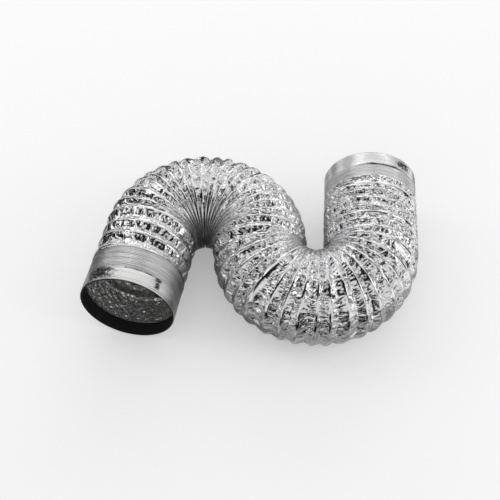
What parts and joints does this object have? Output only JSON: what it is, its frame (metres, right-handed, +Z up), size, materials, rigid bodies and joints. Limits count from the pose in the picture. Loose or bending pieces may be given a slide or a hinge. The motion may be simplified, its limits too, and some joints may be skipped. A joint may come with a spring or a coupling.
{
  "type": "flexible air duct",
  "caption": "Flexible air duct lying as a flat S: a spring-wire helix between two pleated foil plies, with a taped collar of close-packed turns and a black-lined mouth at each end.",
  "frame": {"origin": "under the middle of the box that the S fills, on the floor it lies on", "axes": "+X across the S from the left mouth's side to the right mouth's, +Y away from the left mouth, +Z up"},
  "size_m": [0.5542, 0.348, 0.155],
  "materials": {
    "outer_foil": "crumpled bright foil",
    "inner_foil": "crumpled bright foil",
    "spring_wire": "bare drawn wire",
    "aluminium_tape": "smooth foil tape",
    "black_liner": "matt black"
  },
  "bodies": {
    "left_collar": {"left_mouth_band": "aluminium_tape", "left_liner": "black_liner", "left_packed_foil": "outer_foil", "left_packed_wire": "spring_wire"},
    "duct_01": {"outer_foil_01": "outer_foil", "wire_turns_01": "spring_wire"},
    "duct_02": {"outer_foil_02": "outer_foil", "wire_turns_02": "spring_wire", "inner_foil_1": "inner_foil"},
    "duct_03": {"outer_foil_03": "outer_foil", "wire_turns_03": "spring_wire"},
    "duct_04": {"outer_foil_04": "outer_foil", "wire_turns_04": "spring_wire"},
    "duct_05": {"outer_foil_05": "outer_foil", "wire_turns_05": "spring_wire", "inner_foil_2": "inner_foil"},
    "duct_06": {"outer_foil_06": "outer_foil", "wire_turns_06": "spring_wire"},
    "duct_07": {"outer_foil_07": "outer_foil", "wire_turns_07": "spring_wire"},
    "duct_08": {"outer_foil_08": "outer_foil", "wire_turns_08": "spring_wire", "inner_foil_3": "inner_foil"},
    "duct_09": {"outer_foil_09": "outer_foil", "wire_turns_09": "spring_wire"},
    "duct_10": {"outer_foil_10": "outer_foil", "wire_turns_10": "spring_wire"},
    "duct_11": {"outer_foil_11": "outer_foil", "wire_turns_11": "spring_wire", "inner_foil_4": "inner_foil"},
    "duct_12": {"outer_foil_12": "outer_foil", "wire_turns_12": "spring_wire"},
    "duct_13": {"outer_foil_13": "outer_foil", "wire_turns_13": "spring_wire"},
    "duct_14": {"outer_foil_14": "outer_foil", "wire_turns_14": "spring_wire", "inner_foil_5": "inner_foil"},
    "duct_15": {"outer_foil_15": "outer_foil", "wire_turns_15": "spring_wire"},
    "duct_16": {"outer_foil_16": "outer_foil", "wire_turns_16": "spring_wire"},
    "duct_17": {"outer_foil_17": "outer_foil", "wire_turns_17": "spring_wire", "inner_foil_6": "inner_foil"},
    "duct_18": {"outer_foil_18": "outer_foil", "wire_turns_18": "spring_wire"},
    "duct_19": {"outer_foil_19": "outer_foil", "wire_turns_19": "spring_wire"},
    "duct_20": {"outer_foil_20": "outer_foil", "wire_turns_20": "spring_wire", "inner_foil_7": "inner_foil"},
    "duct_21": {"outer_foil_21": "outer_foil", "wire_turns_21": "spring_wire"},
    "duct_22": {"outer_foil_22": "outer_foil", "wire_turns_22": "spring_wire", "inner_foil_8": "inner_foil"},
    "right_collar": {"right_mouth_band": "aluminium_tape", "right_liner": "black_liner", "right_packed_foil": "outer_foil", "right_packed_wire": "spring_wire"}
  },
  "joints": [
    {"name": "left_bend", "type": "hinge", "parent": "duct_11", "child": "duct_10", "pos_m": [0.00885, 0.02355, 0.0775], "axis": [0, 0, -1], "range_deg": [0, 18.44], "deforming": ["outer_foil_11", "outer_foil_10", "inner_foil_4"]},
    {"name": "left_bend_2", "type": "hinge", "parent": "duct_10", "child": "duct_09", "pos_m": [-0.00105, 0.05099, 0.0775], "axis": [0, 0, -1], "range_deg": [0, 18.44], "deforming": ["outer_foil_09"]},
    {"name": "left_bend_3", "type": "hinge", "parent": "duct_09", "child": "duct_08", "pos_m": [-0.01913, 0.07388, 0.0775], "axis": [0, 0, -1], "range_deg": [0, 18.44], "deforming": ["outer_foil_08", "inner_foil_3"]},
    {"name": "left_bend_4", "type": "hinge", "parent": "duct_08", "child": "duct_07", "pos_m": [-0.04352, 0.08988, 0.0775], "axis": [0, 0, -1], "range_deg": [0, 18.44], "deforming": ["outer_foil_07"]},
    {"name": "left_bend_5", "type": "hinge", "parent": "duct_07", "child": "duct_06", "pos_m": [-0.07171, 0.09734, 0.0775], "axis": [0, 0, -1], "range_deg": [0, 18.44], "deforming": ["outer_foil_06"]},
    {"name": "left_bend_6", "type": "hinge", "parent": "duct_06", "child": "duct_05", "pos_m": [-0.10082, 0.0955, 0.0775], "axis": [0, 0, -1], "range_deg": [0, 18.44], "deforming": ["outer_foil_05", "inner_foil_2"]},
    {"name": "left_bend_7", "type": "hinge", "parent": "duct_05", "child": "duct_04", "pos_m": [-0.12786, 0.08454, 0.0775], "axis": [0, 0, -1], "range_deg": [0, 18.44], "deforming": ["outer_foil_04"]},
    {"name": "left_bend_8", "type": "hinge", "parent": "duct_04", "child": "duct_03", "pos_m": [-0.15003, 0.06559, 0.0775], "axis": [0, 0, -1], "range_deg": [0, 18.44], "deforming": ["outer_foil_03"]},
    {"name": "left_bend_9", "type": "hinge", "parent": "duct_03", "child": "duct_02", "pos_m": [-0.16507, 0.0406, 0.0775], "axis": [0, 0, -1], "range_deg": [0, 18.44], "deforming": ["outer_foil_02", "inner_foil_1"]},
    {"name": "left_lift", "type": "hinge", "parent": "duct_02", "child": "duct_01", "pos_m": [-0.17526, 0.00044, 0.0775], "axis": [-0.9759, 0.2181, 0], "range_deg": [0, 12], "deforming": ["outer_foil_01"]},
    {"name": "left_stretch", "type": "slide", "parent": "duct_01", "child": "left_collar", "axis": [-0.2181, -0.9759, 0], "range_m": [0, 0.024]},
    {"name": "right_bend", "type": "hinge", "parent": "duct_11", "child": "duct_12", "pos_m": [0.01252, -0.02441, 0.0775], "axis": [0, 0, -1], "range_deg": [0, 19.56], "deforming": ["outer_foil_12"]},
    {"name": "right_bend_2", "type": "hinge", "parent": "duct_12", "child": "duct_13", "pos_m": [0.02357, -0.05328, 0.0775], "axis": [0, 0, -1], "range_deg": [0, 19.56], "deforming": ["outer_foil_13"]},
    {"name": "right_bend_3", "type": "hinge", "parent": "duct_13", "child": "duct_14", "pos_m": [0.04365, -0.07678, 0.0775], "axis": [0, 0, -1], "range_deg": [0, 19.56], "deforming": ["outer_foil_14", "inner_foil_5"]},
    {"name": "right_bend_4", "type": "hinge", "parent": "duct_14", "child": "duct_15", "pos_m": [0.07043, -0.0922, 0.0775], "axis": [0, 0, -1], "range_deg": [0, 19.56], "deforming": ["outer_foil_15"]},
    {"name": "right_bend_5", "type": "hinge", "parent": "duct_15", "child": "duct_16", "pos_m": [0.10084, -0.09777, 0.0775], "axis": [0, 0, -1], "range_deg": [0, 19.56], "deforming": ["outer_foil_16"]},
    {"name": "right_bend_6", "type": "hinge", "parent": "duct_16", "child": "duct_17", "pos_m": [0.13135, -0.09284, 0.0775], "axis": [0, 0, -1], "range_deg": [0, 19.56], "deforming": ["outer_foil_17", "inner_foil_6"]},
    {"name": "right_bend_7", "type": "hinge", "parent": "duct_17", "child": "duct_18", "pos_m": [0.15845, -0.07798, 0.0775], "axis": [0, 0, -1], "range_deg": [0, 19.56], "deforming": ["outer_foil_18"]},
    {"name": "right_bend_8", "type": "hinge", "parent": "duct_18", "child": "duct_19", "pos_m": [0.17902, -0.05491, 0.0775], "axis": [0, 0, -1], "range_deg": [0, 19.56], "deforming": ["outer_foil_19"]},
    {"name": "right_bend_9", "type": "hinge", "parent": "duct_19", "child": "duct_20", "pos_m": [0.19068, -0.02628, 0.0775], "axis": [0, 0, -1], "range_deg": [0, 19.56], "deforming": ["outer_foil_20", "inner_foil_7"]},
    {"name": "right_lift", "type": "hinge", "parent": "duct_20", "child": "duct_21", "pos_m": [0.19337, 0.00401, 0.0775], "axis": [0.999, -0.0454, 0], "range_deg": [0, 8], "deforming": ["outer_foil_21"]},
    {"name": "right_lift_2", "type": "hinge", "parent": "duct_21", "child": "duct_22", "pos_m": [0.19541, 0.04875, 0.0775], "axis": [0.999, -0.0454, 0], "range_deg": [0, 8], "deforming": ["outer_foil_22", "inner_foil_8"]},
    {"name": "right_stretch", "type": "slide", "parent": "duct_22", "child": "right_collar", "axis": [0.0454, 0.999, 0], "range_m": [0, 0.024]}
  ],
  "couplings": [
    {"joint": "left_bend_2", "follows": "left_bend", "ratio": 1},
    {"joint": "left_bend_3", "follows": "left_bend", "ratio": 1},
    {"joint": "left_bend_4", "follows": "left_bend", "ratio": 1},
    {"joint": "left_bend_5", "follows": "left_bend", "ratio": 1},
    {"joint": "left_bend_6", "follows": "left_bend", "ratio": 1},
    {"joint": "left_bend_7", "follows": "left_bend", "ratio": 1},
    {"joint": "left_bend_8", "follows": "left_bend", "ratio": 1},
    {"joint": "left_bend_9", "follows": "left_bend", "ratio": 1},
    {"joint": "right_bend_2", "follows": "right_bend", "ratio": 1},
    {"joint": "right_bend_3", "follows": "right_bend", "ratio": 1},
    {"joint": "right_bend_4", "follows": "right_bend", "ratio": 1},
    {"joint": "right_bend_5", "follows": "right_bend", "ratio": 1},
    {"joint": "right_bend_6", "follows": "right_bend", "ratio": 1},
    {"joint": "right_bend_7", "follows": "right_bend", "ratio": 1},
    {"joint": "right_bend_8", "follows": "right_bend", "ratio": 1},
    {"joint": "right_bend_9", "follows": "right_bend", "ratio": 1},
    {"joint": "right_lift_2", "follows": "right_lift", "ratio": 1}
  ]
}
